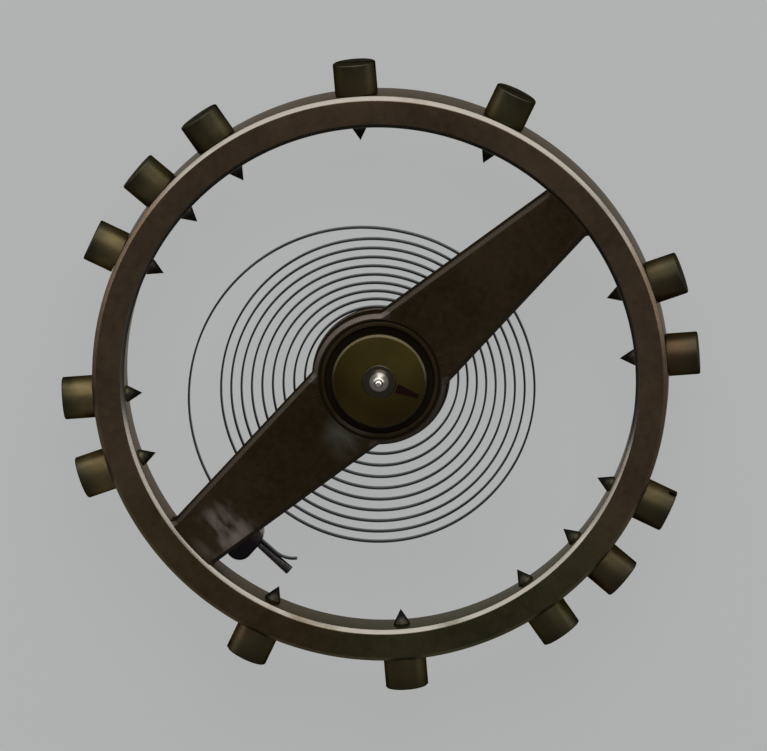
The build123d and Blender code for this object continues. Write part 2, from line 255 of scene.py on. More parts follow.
class Finish:
    """The material of one finish: even values sit on the shader, what varies is wired in."""

    def __init__(self, name, **even):
        self.material = bpy.data.materials.new(name)
        self.material.use_nodes = True
        self.nodes = self.material.node_tree.nodes
        self.links = self.material.node_tree.links
        self.shader = self.nodes["Principled BSDF"]
        for socket_name, value in even.items():
            self.wire(socket_name.replace("_", " "), value)

    def node(self, kind, settings, sockets, output=0):
        """Add a node of a type: its settings first, then a value or a wire for each socket."""
        made = self.nodes.new(kind)
        for setting, value in settings.items():
            setattr(made, setting, value)
        for key, value in sockets.items():
            self.feed(made.inputs[key], value)
        return Wire(self, made.outputs[output])

    def feed(self, socket, value):
        """Link a wire to a socket, or write a number, a vector or a colour on it."""
        if isinstance(value, Wire):
            self.links.new(value.socket, socket)
        else:
            socket.default_value = (*value, 1) if socket.type == "RGBA" else value

    def place(self, stretch=(1, 1, 1)):
        """The Object coordinates in millimetres, each multiplied by its stretch."""
        sockets = {0: self.node("ShaderNodeTexCoord", {}, {}, "Object"), 1: np.array(stretch) / MILLIMETRE}
        return self.node("ShaderNodeVectorMath", {"operation": "MULTIPLY"}, sockets)

    def away_from(self, spot):
        """The distance from a spot."""
        sockets = {0: self.place(), 1: spot}
        return self.node("ShaderNodeVectorMath", {"operation": "DISTANCE"}, sockets, "Value")

    def along(self, axis):
        """The coordinate along one axis."""
        return self.node("ShaderNodeSeparateXYZ", {}, {0: self.place()}, axis)

    def noise(self, vector, scale, detail):
        """Soft noise between 0 and 1, with so many clouds to a step of 1 in the vector."""
        sockets = {"Vector": vector, "Scale": scale, "Detail": detail, "Roughness": cloud_roughness}
        return self.node("ShaderNodeTexNoise", {}, sockets, "Fac")

    def clouds(self, scale, detail=4.0, stretch=(1, 1, 1)):
        """Soft noise over the piece, with so many clouds to a millimetre."""
        return self.noise(self.place(stretch), scale, detail)

    def mixed(self, share, low, high):
        """The colour that is low where the share is 0 and high where it is 1."""
        return self.node("ShaderNodeMix", {"data_type": "RGBA"}, {0: share, 6: low, 7: high}, 2)

    def attribute(self, name):
        """A number that the mesh carries at each of its points."""
        return self.node("ShaderNodeAttribute", {"attribute_name": name}, {}, "Fac")

    def bump(self, height, strength, depth):
        """Raise the surface by up to a depth, where the height says from 0 to 1 how far."""
        sockets = {"Strength": strength, "Distance": depth * MILLIMETRE, "Height": height}
        self.wire("Normal", self.node("ShaderNodeBump", {}, sockets))

    def wire(self, socket_name, value):
        """Feed one of the shader's sockets."""
        self.feed(self.shader.inputs[socket_name], value)

    def radius(self):
        """The distance from the staff's axis."""
        x, y = self.along("X"), self.along("Y")
        return (x * x + y * y) ** 0.5

    def ring_grain(self, spacing):
        """Fine rings round the staff, as a lathe tool leaves them: noise of radius and height."""
        rings = self.node("ShaderNodeCombineXYZ", {}, {0: self.radius(), 1: self.along("Z")})
        return self.noise(rings, 1 / spacing, detail=2.0)


def points_of(piece):
    """The points of a piece, in millimetres."""
    points = np.empty(len(piece.data.vertices) * 3)
    piece.data.vertices.foreach_get("co", points)
    return points.reshape(-1, 3) / MILLIMETRE


def worn_edges(piece, *bands):
    """Write how polished each point is: the greatest share of any band it lies in, else 0.
    A band is (least radius, most radius, lowest, highest, share)."""
    x, y, height = points_of(piece).T
    radius = np.hypot(x, y)
    worn = [
        share * ((radius > least) & (radius < most) & (height > lowest) & (height < highest))
        for least, most, lowest, highest, share in bands
    ]
    layer = piece.data.attributes.new("worn", "FLOAT", "POINT")
    layer.data.foreach_set("value", np.max(worn, axis=0).astype(np.float32))


bronze = Finish("dark bronze", Metallic=1.0, Specular_Tint=(0.7, 0.66, 0.6))
drift = bronze.clouds(0.15, detail=2.0)
tarnish = bronze.clouds(0.45)
mottle = bronze.clouds(4.2, detail=3.0)
darkness = (tarnish * (1 - fine_share) + mottle * fine_share).between()
aged_bronze = bronze.mixed(darkness, *bronze_tones)
# Round two spots the rim's bronze is darker, turning umber at one and olive at the other.
for spot, tones in ((umber_middle, umber_tones), (olive_middle, olive_tones)):
    cover = 1 - (bronze.away_from(spot) + drift * tint_patch_wander).between(tint_patch_full, tint_patch_reach)
    aged_bronze = bronze.mixed(cover, aged_bronze, bronze.mixed(darkness, *tones))
# Painted light and shade: the outer chamfer stays brightly polished only on the rim's side towards the top
# lamps, and round the rest it is painted dull.
edge_shade_away = bronze.away_from(lit_edge_middle).between(lit_edge_reach, edge_shade_from)
outer_edge_shade = bronze.radius().between(outer_edge_start, outer_edge_full) * edge_shade_away
polish_and_edge_shade = bronze.attribute("worn") * tarnish.between(*polish_patches) * (1 - outer_edge_shade * edge_shade_share)
bronze.wire("Base Color", bronze.mixed(polish_and_edge_shade, aged_bronze, polished_bronze))
bronze.wire("Roughness", bronze_roughness + tarnish * tarnish_roughness - polish_and_edge_shade * polish_gloss)
bronze.bump(bronze.ring_grain(lathe_grain), grain_strength, grain_depth)

rim_corners = (
    (rim_inner_radius, rim_back + rim_back_chamfer), (rim_inner_radius + rim_back_chamfer, rim_back),
    (rim_outer_radius - rim_back_chamfer, rim_back), (rim_outer_radius, rim_back + rim_back_chamfer),
    (rim_outer_radius, rim_front - rim_front_chamfer), (rim_outer_radius - rim_front_chamfer, rim_front),
    (rim_inner_radius + rim_front_chamfer, rim_front), (rim_inner_radius, rim_front - rim_front_chamfer),
)
rim = turned_piece("rim", softened(rim_corners, rim_edge_softness), rim_columns, ring=True)
for angle in np.radians(all_screw_angles):
    cut_with(rim, rod("bore", *raised(heading_point(angle, bore_reach), rim_middle), bore_radius))
inner_polish = rim_inner_radius + rim_front_chamfer - rim_edge_softness / 2
outer_polish = rim_outer_radius - rim_front_chamfer + rim_edge_softness / 2
lowest_polish = rim_front - rim_front_chamfer - rim_edge_softness / 2
worn_edges(
    rim,
    (0, inner_polish, lowest_polish, np.inf, 1),
    (outer_polish, np.inf, lowest_polish, np.inf, 1),
)
rim.data.materials.append(bronze.material)
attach(rim, "balance")
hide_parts("balance_wheel")


# The arm and the hub
# One straight arm crosses the rim and widens to a hub that was turned for the staff.
# It is filed out of the blank, its front edges bevelled, and stands a little behind the rim's face.
arm_recess = 0.1
arm_thickness = 0.78
arm_front = rim_front - arm_recess
arm_back = arm_front - arm_thickness
arm_reach = (rim_inner_radius + rim_outer_radius) / 2
arm_end_half_width = 0.8
arm_root_half_width = 1.56
arm_slope = (arm_root_half_width - arm_end_half_width) / arm_reach
arm_bevel = 0.12
bevel_softness = 0.016
arm_fillet = 0.15
arm_corner = np.sqrt(rim_inner_radius**2 - arm_end_half_width**2)
arm_overlap = 0.3
arm_end = rim_inner_radius + arm_overlap
hub_radius = 1.97
hub_recess_radius = 1.62
hub_edge_width = 0.35
hub_groove_width = 0.07
hub_groove_depth = 0.05
hub_floor = 1.31
hub_boss_height = 0.05
hub_back = arm_back - hub_boss_height
hub_boss_radius = 1.3
hub_flange_radius = 2.03
hub_flange_height = 0.2
hub_flange_chamfer = 0.04
edge_tolerance = 0.008
arm_bevel_polish = 0.45
hub_blend = 0.05
hub_chord = 2.3
hub_softness = 0.014
staff_seat_radius = 0.7
across_steps = 33
arc_steps = 96
arm_steps = 25
flare_steps = 11
milled_start = arm_front - 0.005
milled_full = arm_front - 0.001
darker_arm_tones = (0.034, 0.021, 0.009), (0.062, 0.043, 0.023)
shaded_wall_colour = (0.024, 0.018, 0.01)
polished_arm = (0.1, 0.083, 0.07)
smear_and_highlight_middle = (-6.5, -0.35, 1.45)
smear_and_highlight_reach = 1.2
smear_and_highlight_colour = (0.33, 0.265, 0.235)
smear_and_highlight_patches = 0.4, 0.68
haze_middle = (-1.9, -0.6, 1.45)
haze_reach = 0.9
haze_colour = (0.12, 0.115, 0.09)
haze_patches = 0.3, 0.8
full_share = 0.25
arm_polish_patches = 0.2, 0.42
wall_roughness = 0.62
milled_gloss = 0.28
smoke_roughness = 0.12
arm_polish_gloss = 0.16
arm_grain_strength = 0.1

# The arm's bronze is painted darker than the rim's, though both are turned from one blank.
arm_bronze = Finish("darker arm bronze", Metallic=1.0, Specular_Tint=(0.45, 0.4, 0.33))
smoke = arm_bronze.clouds(0.38)
pits = arm_bronze.clouds(5.2, detail=3.0)
arm_colour = arm_bronze.mixed((smoke * (1 - fine_share) + pits * fine_share).between(), *darker_arm_tones)
patches = arm_bronze.clouds(1.7, detail=3.0, stretch=(1, 0.4, 1))
# Beside the stud the arm's face has a pale purplish-grey smear in flecks, far lighter than the bronze:
# partly a smear, partly painted highlight. Nearer the hub lies a greenish-grey haze.
for spot, reach, colour, patchiness in (
    (smear_and_highlight_middle, smear_and_highlight_reach, smear_and_highlight_colour, smear_and_highlight_patches),
    (haze_middle, haze_reach, haze_colour, haze_patches),
):
    near = 1 - arm_bronze.away_from(spot).between(full_share * reach, reach)
    arm_colour = arm_bronze.mixed(near * patches.between(*patchiness), arm_colour, colour)
# Painted shade: below its front face (the walls, bevels, the hub's recess and groove, and the back) the arm
# is painted near-black as shade; the face is also smoother.
milled_unshaded_face = arm_bronze.along("Z").between(milled_start, milled_full)
arm_polish = arm_bronze.attribute("worn") * smoke.between(*arm_polish_patches)
arm_colour = arm_bronze.mixed(milled_unshaded_face, shaded_wall_colour, arm_colour)
arm_bronze.wire("Base Color", arm_bronze.mixed(arm_polish, arm_colour, polished_arm))
arm_roughness = wall_roughness - milled_unshaded_face * milled_gloss + smoke * smoke_roughness
arm_bronze.wire("Roughness", arm_roughness - arm_polish * arm_polish_gloss)
arm_bronze.bump(arm_bronze.ring_grain(lathe_grain), arm_grain_strength, grain_depth)


def arm_half_width(along, inset):
    """Half the arm's width at a distance from the staff: a straight taper that flares by a quarter
    round into the rim. w(x) + f - sqrt((f + inset)^2 - t^2), where t is how far x is into the flare."""
    taper = arm_root_half_width - arm_slope * along
    into_flare = np.clip(along - (arm_corner - arm_fillet), 0, arm_fillet)
    return taper + arm_fillet - np.sqrt((arm_fillet + inset) ** 2 - into_flare**2)


def hub_outline(inset, least_radius):
    """The hub between two arms, over polar angles a: the larger of its own circle and the arm's edge
    w / (sin a + m |cos a|), with a soft step k between them, and no less than a least radius."""
    start = np.arctan2(arm_half_width(hub_chord, inset), hub_chord)
    angle = np.linspace(start, np.pi - start, arc_steps)
    edge = arm_root_half_width - inset * np.hypot(1, arm_slope)
    edge = edge / (np.sin(angle) + arm_slope * np.abs(np.cos(angle)))
    circle = hub_radius - inset
    overlap = np.clip(hub_blend - np.abs(edge - circle), 0, None)
    radius = np.maximum(np.maximum(edge, circle) + overlap**2 / (4 * hub_blend), least_radius)
    return heading_point(angle, radius)


across_arm = np.linspace(-1, 1, across_steps)
arm_along = np.concatenate([
    np.linspace(hub_chord, arm_corner - arm_fillet, arm_steps)[:-1],
    np.linspace(arm_corner - arm_fillet, arm_corner, flare_steps),
    [arm_end],
])


def both_ways(half_loop):
    """A loop of which the second half is the first half turned by half a turn."""
    return np.concatenate([half_loop, -half_loop])


def outer_loop(inset, least_radius=0.0):
    """The whole edge: out along one side of an arm, across its end, back, and round the hub."""
    half_width = arm_half_width(arm_along, inset)
    out = np.stack([arm_along, -half_width], axis=1)
    back = np.stack([arm_along, half_width], axis=1)[::-1]
    end = np.stack([0 * across_arm + arm_end, across_arm * half_width[-1]], axis=1)
    return both_ways(np.concatenate([out, end, back, hub_outline(inset, least_radius)]))


def waist_loop(inset, least_radius=0.0):
    """The hub's own edge, closed by a chord across each arm."""
    chord = np.stack([0 * across_arm + hub_chord, across_arm * arm_half_width(hub_chord, inset)], axis=1)
    return both_ways(np.concatenate([chord, hub_outline(inset, least_radius)]))


def face_nets(inset, height, ring_radius, least_radius=0.0):
    """A flat face of arm and hub: a ring from a circle out to the waist, and a net over each arm."""
    waist = waist_loop(inset, least_radius)
    circle = ring_radius * waist / np.linalg.norm(waist, axis=1)[:, None]
    ring = raised(np.stack([circle, waist]), height)
    half_width = arm_half_width(arm_along, inset)[:, None]
    arm = np.stack([arm_along[:, None] + 0 * across_arm, half_width * across_arm], axis=-1)
    turned_arm = raised(-arm, height)
    return [(ring, False, True), (raised(arm, height), False, False), (turned_arm, False, False)]


flange_front = arm_back + hub_flange_height
bevelled = (
    (2 * arm_bevel, arm_front), (arm_bevel, arm_front), (0, arm_front - arm_bevel), (0, flange_front),
)
edge_profile = softened(bevelled, bevel_softness, closed=False)[corner_steps:]
wall = np.stack([raised(outer_loop(inset), height) for inset, height in edge_profile])
flange = np.stack([
    raised(outer_loop(0, hub_flange_radius - hub_flange_chamfer), flange_front),
    raised(outer_loop(0, hub_flange_radius), flange_front - hub_flange_chamfer),
    raised(outer_loop(0, hub_flange_radius), arm_back),
])
front_inset = edge_profile[0][0]
groove_inner = hub_recess_radius + hub_edge_width / 3
groove_outer = groove_inner + hub_groove_width
hub_profile = softened(
    (
        (groove_outer, arm_front), (groove_outer, arm_front - hub_groove_depth),
        (groove_inner, arm_front - hub_groove_depth), (groove_inner, arm_front),
        (hub_recess_radius, arm_front), (hub_recess_radius, hub_floor),
        (staff_seat_radius, hub_floor), (staff_seat_radius, hub_back),
        (hub_boss_radius, hub_back), (hub_boss_radius, arm_back),
    ),
    hub_softness, closed=False,
)


def angles_of(loop):
    """The angle of each point of a loop round the staff, with no jump."""
    return np.unwrap(np.arctan2(loop[:, 1], loop[:, 0]))


# The turned middle's angles change evenly from the front face's points to the back face's.
front_angles = angles_of(waist_loop(front_inset))
back_angles = angles_of(waist_loop(0, hub_flange_radius))
hub_angles = front_angles + (back_angles - front_angles) * np.linspace(0, 1, len(hub_profile))[:, None]
crossing = net_piece(
    "crossing",
    (np.concatenate([wall, flange]), False, True),
    *face_nets(front_inset, arm_front, groove_outer),
    *face_nets(0, arm_back, hub_boss_radius, hub_flange_radius),
    (carried_round(hub_profile, hub_angles), False, True),
)
bevel_start = hub_radius - arm_bevel - edge_tolerance
bevel_low = arm_front - arm_bevel - edge_tolerance
flange_end = hub_flange_radius + edge_tolerance
flange_high = flange_front - edge_tolerance
flange_low = flange_high - hub_flange_chamfer
past_hub = hub_radius + edge_tolerance
worn_edges(
    crossing,
    (bevel_start, flange_end, bevel_low, np.inf, 1),
    (past_hub, flange_end, flange_low, flange_high, 1),
    (past_hub, rim_inner_radius, bevel_low, arm_front - edge_tolerance, arm_bevel_polish),
)
crossing.data.materials.append(arm_bronze.material)
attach(crossing, "balance")
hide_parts("balance_wheel")


# The rim screws
# Fourteen brass screws stand in opposite pairs round the rim and set its weight and its poise.
# Each is turned with a point, threaded through the rim until its head seats, and slotted by hand.
screw_head_radius = 0.63
screw_head_height = 0.92
screw_head_chamfer = 0.03
screw_slot_width = 0.17
screw_slot_depth = 0.24
screw_land = 0.05
screw_point_length = 0.42
screw_columns = 96
screw_softness = 0.012
thread_softness = 0.02
seat_softness = 0.004
screw_slot_turns = (8, 166, 172, 15, 3, 177, 20, 162, 11, 169, 5, 24, 158, 174)
head_end = rim_outer_radius + screw_head_height
thread_end = rim_inner_radius - screw_land
lit_clean_middle = (-6.8, 6.2, 0.8)
lit_clean_reach = 3.0
shaded_rusty_reach = 10.0
end_shade_start = 9.1
end_shade_full = 9.9
end_shade_wander = 0.6
point_start = 7.4
point_end = 7.6
lit_clean_tones = (0.05, 0.04, 0.018), (0.155, 0.119, 0.058)
rusty_tones = (0.052, 0.048, 0.021), (0.075, 0.047, 0.026)
shaded_dull_brass = (0.068, 0.057, 0.03)
shaded_end_brass = (0.036, 0.034, 0.021)
shaded_point_colour = (0.032, 0.03, 0.024)
clean_patches = 0.3, 0.75
rust_patches = 0.45, 0.6
dull_patches = 0.35, 0.7
screw_roughness = 0.38
flank_roughness = 0.14

screw_brass = Finish("screw brass", Metallic=1.0, Specular_Tint=(0.3, 0.27, 0.22))
flank = screw_brass.clouds(0.9)
lit_clean_brass = screw_brass.mixed(flank.between(*clean_patches), *lit_clean_tones)
rust = screw_brass.clouds(0.26, detail=2.0).between(*rust_patches)
rusty_brass = screw_brass.mixed(rust, *rusty_tones)
shaded_rusty_brass = screw_brass.mixed(flank.between(*dull_patches), rusty_brass, shaded_dull_brass)
# Painted light and shade: screws towards the upper left are painted a brighter, cleaner brass as the lit
# side, and those away from it darker as the shaded side, with real rust flecks.
shaded_and_rusty = screw_brass.away_from(lit_clean_middle).between(lit_clean_reach, shaded_rusty_reach)
screw_colour = screw_brass.mixed(shaded_and_rusty, lit_clean_brass, shaded_rusty_brass)
# Painted shade: each screw head is painted near-black towards its outer end.
shaded_screw_end = (screw_brass.radius() + flank * end_shade_wander).between(end_shade_start, end_shade_full)
screw_colour = screw_brass.mixed(shaded_screw_end, screw_colour, shaded_end_brass)
# Painted shade: the screws' points, inside the rim, are painted near-black.
inside_rim = 1 - screw_brass.radius().between(point_start, point_end)
screw_brass.wire("Base Color", screw_brass.mixed(inside_rim, screw_colour, shaded_point_colour))
screw_brass.wire("Roughness", screw_roughness + flank * flank_roughness)

screw_profile = softened(
    (
        (0, thread_end - screw_point_length), (screw_thread_radius, thread_end),
        (screw_thread_radius, rim_outer_radius), (screw_head_radius, rim_outer_radius),
        (screw_head_radius, head_end - screw_head_chamfer),
        (screw_head_radius - screw_head_chamfer, head_end), (0, head_end),
    ),
    (0, thread_softness, seat_softness, screw_softness, screw_softness, screw_softness, 0), closed=False,
)
master_screw = turned_piece("master_screw", screw_profile, screw_columns, ring=False)


def wedge(name, angle, reach, widths, heights):
    """A flat wedge along a heading from the axis, between two distances and between two heights,
    with a width at each distance, or one width all along."""
    along = heading_point(angle, np.array(reach))
    across = heading_point(angle + np.pi / 2, np.array(widths) / 2)
    outline = np.concatenate([along - across, (along + across)[::-1]])
    points = np.concatenate([raised(outline, height) for height in heights])
    faces = np.array([(3, 2, 1, 0), (4, 5, 6, 7), (0, 1, 5, 4), (1, 2, 6, 5), (2, 3, 7, 6), (3, 0, 4, 7)])
    return made_piece(name, points, faces)


slot_reach = np.array([-1, 1]) * (screw_head_radius + bore_overrun)
slot_heights = (head_end - screw_slot_depth, head_end + bore_overrun)
cut_with(master_screw, wedge("slot", 0, slot_reach, screw_slot_width, slot_heights))
for number, (angle, slot_turn) in enumerate(zip(np.radians(all_screw_angles), screw_slot_turns), start=1):
    screw = bpy.data.objects.new(f"rim_screw_piece_{number:02d}", master_screw.data.copy())
    bpy.context.scene.collection.objects.link(screw)
    seat = Matrix.Translation((0, 0, rim_middle * MILLIMETRE)) @ Matrix.Rotation(angle, 4, "Z")
    slot_angle = np.radians(slot_turn + 90)
    screw.data.transform(seat @ Matrix.Rotation(np.pi / 2, 4, "Y") @ Matrix.Rotation(slot_angle, 4, "Z"))
    screw.data.materials.append(screw_brass.material)
    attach(screw, "balance")
    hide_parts(f"rim_screw_{number:02d}")
bpy.data.objects.remove(master_screw)


# The staff
# The staff is the balance's axle, one piece of hardened steel turned between centres.
# Its hub is riveted into the wheel, and its two pivots are burnished bright.
staff_top = 2.15
pivot_radius = 0.1
upper_pivot_length = 0.22
upper_cone_radius = 0.38
upper_cone_foot = 1.75
upper_cone_hollow = 0.055
roller_front = 1.73
roller_back = 1.43
roller_seat_radius = 0.5
staff_flange_radius = 0.95
rivet_radius = 0.8
rivet_back = 0.565
collet_seat_radius = 0.5
collet_seat_end = 0.025
arbor_radius = 0.37
lower_cone_top = -1.29
lower_cone_radius = 0.3
lower_cone_hollow = 0.02
lower_pivot_length = 0.36
pivot_chamfer = 0.04
seat_chamfer = 0.02
staff_softness = 0.012
staff_columns = 144
staff_smooth_below = 40.0
fine_corner_steps = 3
hollow_steps = 17
fine_grain = 0.02
burnish_full = 0.11
burnish_end = 0.15
shade_on_cone = 0.24
shade_on_seat = 0.31
steel_tones = (0.3, 0.276, 0.24), (0.4, 0.37, 0.325)
shaded_steel = (0.06, 0.05, 0.036)
burnished_steel = (0.6, 0.565, 0.515)
steel_roughness = 0.26
grain_roughness = 0.1
burnish_gloss = 0.1

steel = Finish("polished steel", Metallic=1.0)
steel_grain = steel.ring_grain(fine_grain)
# Painted shade: outwards from the cone's outer part, over the shoulder, flange, seats and arbor, the steel
# is painted near-black as the dark it reflects; the pivots stay burnished.
shaded_steel_share = steel.radius().between(shade_on_cone, shade_on_seat)
burnished = 1 - steel.radius().between(burnish_full, burnish_end)
steel_colour = steel.mixed(shaded_steel_share, steel.mixed(steel_grain.between(), *steel_tones), shaded_steel)
steel.wire("Base Color", steel.mixed(burnished, steel_colour, burnished_steel))
steel.wire("Roughness", steel_roughness + steel_grain * grain_roughness - burnished * burnish_gloss)


def hollow_curve(start, end, hollow):
    """A turned hollow between two points of a profile: the straight line, moved towards the axis by
    4 h s (1 - s), for s from 0 to 1."""
    share = np.linspace(0, 1, hollow_steps)[1:-1]
    line = np.array(start) + (np.array(end) - np.array(start)) * share[:, None]
    line[:, 0] -= 4 * hollow * share * (1 - share)
    return line.tolist()


upper_shoulder = (pivot_radius, staff_top - upper_pivot_length)
upper_foot = (upper_cone_radius, upper_cone_foot)
lower_shoulder = (pivot_radius, -staff_top + lower_pivot_length)
lower_foot = (lower_cone_radius, lower_cone_top)
staff_corners = [
    (0, staff_top), (pivot_radius - pivot_chamfer, staff_top), (pivot_radius, staff_top - pivot_chamfer),
    upper_shoulder, *hollow_curve(upper_shoulder, upper_foot, upper_cone_hollow), upper_foot,
    (roller_seat_radius - seat_chamfer, upper_cone_foot),
    (roller_seat_radius, roller_front), (roller_seat_radius, roller_back),
    (staff_flange_radius, roller_back), (staff_flange_radius, hub_floor), (staff_seat_radius, hub_floor),
    (staff_seat_radius, hub_back), (rivet_radius, hub_back), (staff_seat_radius, rivet_back),
    (collet_seat_radius, rivet_back), (collet_seat_radius, collet_seat_end),
    (arbor_radius, collet_seat_end),
    lower_foot, *hollow_curve(lower_foot, lower_shoulder, lower_cone_hollow), lower_shoulder,
    (pivot_radius, -staff_top + pivot_chamfer), (pivot_radius - pivot_chamfer, -staff_top), (0, -staff_top),
]
staff_profile = softened(staff_corners, staff_softness, steps=fine_corner_steps, closed=False)
staff = turned_piece("staff", staff_profile, staff_columns, ring=False)
shaded(staff, smooth_below=staff_smooth_below)
staff.data.materials.append(steel.material)
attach(staff, "balance")
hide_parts("balance_staff")


# The roller table
# The roller table is a small brass disc that is pressed on the staff in front of the hub.
# Its edge is bevelled, and a tapered slit between its middle and its edge holds the jewel.
roller_radius = 1.41
roller_bevel = 0.07
roller_softness = 0.012
roller_columns = 180
jewel_angle = np.radians(297.0)
jewel_reach = np.array([0.56, 1.22])
jewel_widths = np.array([0.25, 0.1])
jewel_clearance = 0.01
bevel_edge = roller_radius - roller_bevel
bevel_blend = 0.02
satin_grain = 0.03
roller_lit_middle = (0.9, 0.6, 1.7)
roller_lit_reach = 0.8
roller_shade_reach = 2.2
roller_shade_wander = 0.4
roller_lit_tones = (0.09, 0.069, 0.017), (0.12, 0.093, 0.024)
roller_shaded_tones = (0.045, 0.03, 0.009), (0.066, 0.044, 0.013)
bevel_colour = (0.058, 0.047, 0.027)
brass_roughness = 0.3
satin_roughness = 0.12

brass = Finish("satin brass", Metallic=1.0)
# Painted light and shade: the brass is painted brighter round a spot on the roller's side towards the top
# lamps and darker away from it; the collet shares this finish.
cloudy = brass.clouds(0.7)
roller_shade_share = (brass.away_from(roller_lit_middle) + cloudy * roller_shade_wander).between(roller_lit_reach, roller_shade_reach)
roller_lit_brass, roller_shaded_brass = (brass.mixed(cloudy.between(), *tones) for tones in (roller_lit_tones, roller_shaded_tones))
brass_colour = brass.mixed(roller_shade_share, roller_lit_brass, roller_shaded_brass)
brass_edge = brass.radius().between(bevel_edge - bevel_blend, bevel_edge)
brass.wire("Base Color", brass.mixed(brass_edge, brass_colour, bevel_colour))
brass.wire("Roughness", brass_roughness + brass.ring_grain(satin_grain) * satin_roughness)

roller_profile = softened(
    (
        (roller_seat_radius, roller_back), (roller_radius, roller_back),
        (roller_radius, roller_front - roller_bevel), (bevel_edge, roller_front),
        (roller_seat_radius, roller_front),
    ),
    roller_softness,
)
roller = turned_piece("roller", roller_profile, roller_columns, ring=True)
slit_reach = jewel_reach + np.array([-1, 1]) * jewel_clearance
slit_heights = (roller_back - bore_overrun, roller_front + bore_overrun)
cut_with(roller, wedge("slit", jewel_angle, slit_reach, jewel_widths + 2 * jewel_clearance, slit_heights))
roller.data.materials.append(brass.material)
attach(roller, "balance")
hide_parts("roller_table")


# The impulse jewel
# The jewel is a sliver of dark red ruby that the pallet fork pushes once in each swing.
# It is ground to a wedge, polished, and set with shellac in the roller's slit.
jewel_proud = 0.05
ruby_tones = (0.005, 0.0005, 0.0006), (0.013, 0.001, 0.0013)

ruby = Finish("ruby", Roughness=0.25, Specular_IOR_Level=0.12)
ruby.wire("Base Color", ruby.mixed(ruby.clouds(2.5).between(), *ruby_tones))
jewel_heights = (roller_back, roller_front + jewel_proud)
jewel = wedge("jewel", jewel_angle, jewel_reach, jewel_widths, jewel_heights)
jewel.data.materials.append(ruby.material)
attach(jewel, "balance")
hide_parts("impulse_jewel")


# The hairspring
# The hairspring is one flat strip of hardened steel, rolled thin and wound in about twelve turns.
# Its inner end is bent into the collet's hole, its outer end runs through the stud and on as a tail.
strip_thickness = 0.06
strip_height = 0.22
strip_middle = 0.295
coil_turns = 11.85
coil_stand_off = 0.25
coil_drift = 0.52
coil_drift_angle = np.radians(206.6)
flare_turns = 0.425
flare_rise = 0.8
flare_power = 1.5
elbow_stand_off = 0.07
tail_straight = 0.9
tail_length = 0.7
tail_bend_radius = 0.8
stud_angle = np.radians(189.5)
stud_head_width = 0.8
stud_head_straight = 0.46
stud_inner_wall = 0.29
stud_rim_gap = 0.38
stud_head_length = stud_head_straight + stud_head_width
stud_line_radius = rim_inner_radius - stud_rim_gap - stud_head_length + stud_inner_wall
collet_radius = 1.15
collet_hole_distance = 0.825
collet_strip_offset = 0.03
coil_start_radius = collet_radius + coil_stand_off
stations_per_turn = 144
elbow_stations = 33
tongue_stations = 20
stud_stations = 12
tail_stations = 24
strip_softness = 0.012
search_blocks = 40
spring_tones = (0.045, 0.045, 0.05), (0.085, 0.085, 0.09)
spring_roughness = 0.25
rolled_roughness = 0.1

coil_end = heading_point(stud_angle, stud_line_radius) - heading_point(coil_drift_angle, coil_drift)
coil_end_angle = np.arctan2(coil_end[1], coil_end[0])
coil_pitch = (np.hypot(*coil_end) - coil_start_radius - flare_rise) / coil_turns


def coil_line(turn):
    """The spiral after so many turns: r = r0 + p t + F sin(q)^k round a middle that drifts by
    D sin(90 degrees t / T), where q runs from 0 to 90 degrees over the last, flared part."""
    angle = coil_end_angle + 2 * np.pi * (turn - coil_turns)
    drift = coil_drift * np.sin(np.pi / 2 * turn / coil_turns)
    flare = np.pi / 2 * np.clip(turn - coil_turns + flare_turns, 0, None) / flare_turns
    radius = coil_start_radius + coil_pitch * turn + flare_rise * np.sin(flare) ** flare_power
    return heading_point(coil_drift_angle, drift) + heading_point(angle, radius)


strip_chord = collet_hole_distance + collet_strip_offset + strip_thickness / 2
hole_half_chord = np.sqrt(collet_radius**2 - collet_hole_distance**2)
elbow_reach = hole_half_chord + elbow_stand_off
elbow_room = coil_start_radius**2 - elbow_reach**2 - strip_chord**2
elbow_radius = elbow_room / (2 * (coil_start_radius - strip_chord))
coil_start_angle = coil_end_angle - 2 * np.pi * coil_turns
collet_hole_angle = coil_start_angle - np.pi / 2 + np.arctan2(strip_chord - elbow_radius, elbow_reach)
tongue_heading = collet_hole_angle + np.pi / 2
tongue_middle = heading_point(collet_hole_angle, strip_chord)
elbow_start = tongue_middle + heading_point(tongue_heading, elbow_reach)
elbow_centre = elbow_start + heading_point(tongue_heading + np.pi / 2, elbow_radius)
coil_points = coil_line(np.linspace(0, coil_turns, int(stations_per_turn * coil_turns)))
elbow_end = coil_points[0] - elbow_centre
elbow_turn = (np.arctan2(elbow_end[1], elbow_end[0]) - (tongue_heading - np.pi / 2)) % (2 * np.pi)
elbow_angles = tongue_heading - np.pi / 2 + elbow_turn * np.linspace(0, 1, elbow_stations)[1:-1]
elbow_points = elbow_centre + heading_point(elbow_angles, elbow_radius)
tongue_reach = np.linspace(-hole_half_chord, elbow_reach, tongue_stations)[:, None]
tongue_points = tongue_middle + heading_point(tongue_heading, 1.0) * tongue_reach
last_step = coil_points[-1] - coil_points[-2]
stud_heading = np.arctan2(last_step[1], last_step[0])
stud_along = heading_point(stud_heading, 1.0)
through_stud = coil_points[-1] + stud_along * np.linspace(0, tail_straight, stud_stations)[1:, None]
tail_turn = np.linspace(0, tail_length / tail_bend_radius, tail_stations)[1:]
tail_centre = through_stud[-1] + heading_point(stud_heading + np.pi / 2, tail_bend_radius)
tail_points = tail_centre + heading_point(stud_heading - np.pi / 2 + tail_turn, tail_bend_radius)
strip_line = np.concatenate([tongue_points, elbow_points, coil_points, through_stud, tail_points])


